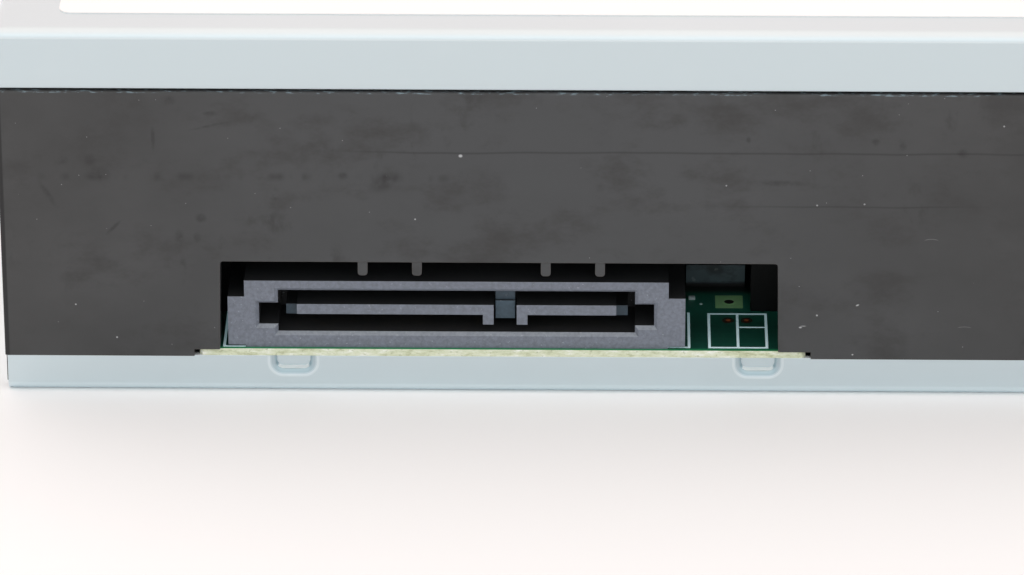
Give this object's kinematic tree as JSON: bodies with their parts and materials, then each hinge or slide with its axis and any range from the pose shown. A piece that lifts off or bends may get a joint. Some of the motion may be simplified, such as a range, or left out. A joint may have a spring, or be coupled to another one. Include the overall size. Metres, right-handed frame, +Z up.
{
  "type": "optical disc drive",
  "caption": "Half-height optical disc drive: folded steel case, moulded rear wall with a serial plug, side mounting holes, and a working tray, lift and pickup.",
  "frame": {"origin": "middle of the underside, between the bezel's face and the rear wall", "axes": "+Z up, -Y out of the bezel, +Y out of the rear wall, +X to the right seen from the bezel"},
  "size_m": [0.1482, 0.17, 0.042],
  "materials": {
    "zinc_steel": "zinc-coated sheet, dull sheen",
    "paper": "bare paper label",
    "screw_steel": "plated screws",
    "dark_plastic": "fine-grained moulding",
    "board": "green solder mask",
    "socket_plastic": "grey heat-proof moulding",
    "contact": "gold-plated contacts",
    "chip_black": "moulded epoxy",
    "can": "drawn can",
    "ivory_plastic": "natural acetal",
    "slate_plastic": "dark slate moulding",
    "cable_film": "flat film cable",
    "lamp": "clear moulding",
    "soft_rubber": "black rubber",
    "grey_plastic": "glass-filled moulding",
    "plain_steel": "plain sheet",
    "ground_steel": "ground bar",
    "cast": "die casting",
    "magnet": "sintered ring",
    "optic": "coated lens",
    "carrier_plastic": "moulded carrier"
  },
  "bodies": {
    "housing": {"top_cover": "zinc_steel", "label": "paper", "bottom_cover": "zinc_steel", "cover_screws": "screw_steel", "main_chassis": "dark_plastic", "main_board": "board", "board_screws": "screw_steel", "socket_shell": "socket_plastic", "power_pins": "contact", "data_pins": "contact", "controller_chip": "chip_black", "driver_chip": "chip_black", "memory_chip": "chip_black", "capacitors": "can", "cable_sockets": "slate_plastic", "front_cable": "cable_film", "front_board": "board", "switch_body": "chip_black", "indicator_lamp": "lamp", "light_pipe": "lamp", "front_bezel": "dark_plastic", "belt": "soft_rubber", "loading_motor": "can", "clamp_bridge": "plain_steel", "bridge_screws": "screw_steel"},
    "tray": {"disc_tray": "dark_plastic", "tray_door": "dark_plastic"},
    "drive_wheel": {"drive_gear": "ivory_plastic"},
    "pulley_wheel": {"pulley_gear": "ivory_plastic"},
    "motor_wheel": {"motor_pulley": "ivory_plastic"},
    "cam": {"cam_slider": "ivory_plastic"},
    "traverse": {"lift_frame": "grey_plastic", "dampers": "soft_rubber", "damper_screws": "screw_steel", "pickup_deck": "plain_steel", "guide_rails": "ground_steel", "spindle_base": "plain_steel", "feed_bracket": "plain_steel", "feed_motor": "chip_black"},
    "spindle": {"turntable": "ground_steel", "table_pad": "soft_rubber", "centring_hub": "grey_plastic"},
    "screw": {"feed_screw": "ground_steel"},
    "sled": {"pickup_body": "cast", "pickup_cover": "cast", "pickup_rack": "ivory_plastic"},
    "lens_unit": {"lens_carrier": "carrier_plastic", "lens": "optic"},
    "clamp": {"disc_clamp": "grey_plastic", "clamp_magnet": "magnet"},
    "button": {"eject_button": "dark_plastic"},
    "plunger": {"switch_plunger": "ivory_plastic"}
  },
  "joints": [
    {"name": "tray_slide", "type": "slide", "parent": "housing", "child": "tray", "axis": [0, -1, 0], "range_m": [0, 0.138]},
    {"name": "drive_gear_turn", "type": "hinge", "parent": "housing", "child": "drive_wheel", "pos_m": [-0.046, -0.066, 0.02], "axis": [0, 0, 1], "range_deg": [0, 879.53]},
    {"name": "pulley_gear_turn", "type": "hinge", "parent": "housing", "child": "pulley_wheel", "pos_m": [-0.0298, -0.066, 0.016], "axis": [0, 0, 1], "range_deg": [-1758.07, 0]},
    {"name": "motor_pulley_turn", "type": "hinge", "parent": "housing", "child": "motor_wheel", "pos_m": [-0.003, -0.066, 0.015], "axis": [0, 0, 1], "range_deg": [-5327.12, 0]},
    {"name": "lift_tilt", "type": "hinge", "parent": "housing", "child": "traverse", "pos_m": [0, 0.0695, 0.01125], "axis": [-1, 0, 0], "range_deg": [0, 4.2]},
    {"name": "cam_slide", "type": "slide", "parent": "housing", "child": "cam", "axis": [1, 0, 0], "range_m": [0, 0.01601]},
    {"name": "spindle_turn", "type": "hinge", "parent": "traverse", "child": "spindle", "pos_m": [0, -0.01043, 0.01415], "axis": [0, -0.0732, 0.9973], "continuous": true},
    {"name": "sled_slide", "type": "slide", "parent": "traverse", "child": "sled", "axis": [0, 0.9973, 0.0732], "range_m": [0, 0.034]},
    {"name": "feed_screw_turn", "type": "hinge", "parent": "traverse", "child": "screw", "pos_m": [0.033, 0.02461, 0.01492], "axis": [0, 0.9973, 0.0732], "range_deg": [0, 4081]},
    {"name": "lens_lift", "type": "slide", "parent": "sled", "child": "lens_unit", "axis": [0, -0.0732, 0.9973], "range_m": [-0.0004, 0.0004], "stiffness_N_per_m": 60},
    {"name": "clamp_turn", "type": "hinge", "parent": "housing", "child": "clamp", "pos_m": [0, -0.01, 0.034], "axis": [0, 0, 1], "continuous": true},
    {"name": "eject_press", "type": "slide", "parent": "housing", "child": "button", "axis": [0, 1, 0], "range_m": [0, 0.0005], "stiffness_N_per_m": 400},
    {"name": "switch_press", "type": "slide", "parent": "housing", "child": "plunger", "axis": [0, 1, 0], "range_m": [0, 0.0006]}
  ],
  "couplings": [
    {"joint": "drive_gear_turn", "follows": "tray_slide", "rad_per_m": 111.11},
    {"joint": "pulley_gear_turn", "follows": "tray_slide", "rad_per_m": -222.22},
    {"joint": "motor_pulley_turn", "follows": "tray_slide", "rad_per_m": -673.61},
    {"joint": "cam_slide", "follows": "lift_tilt", "m_per_rad": 0.21827},
    {"joint": "feed_screw_turn", "follows": "sled_slide", "rad_per_m": 2094.4},
    {"joint": "switch_press", "follows": "eject_press", "ratio": 1}
  ]
}
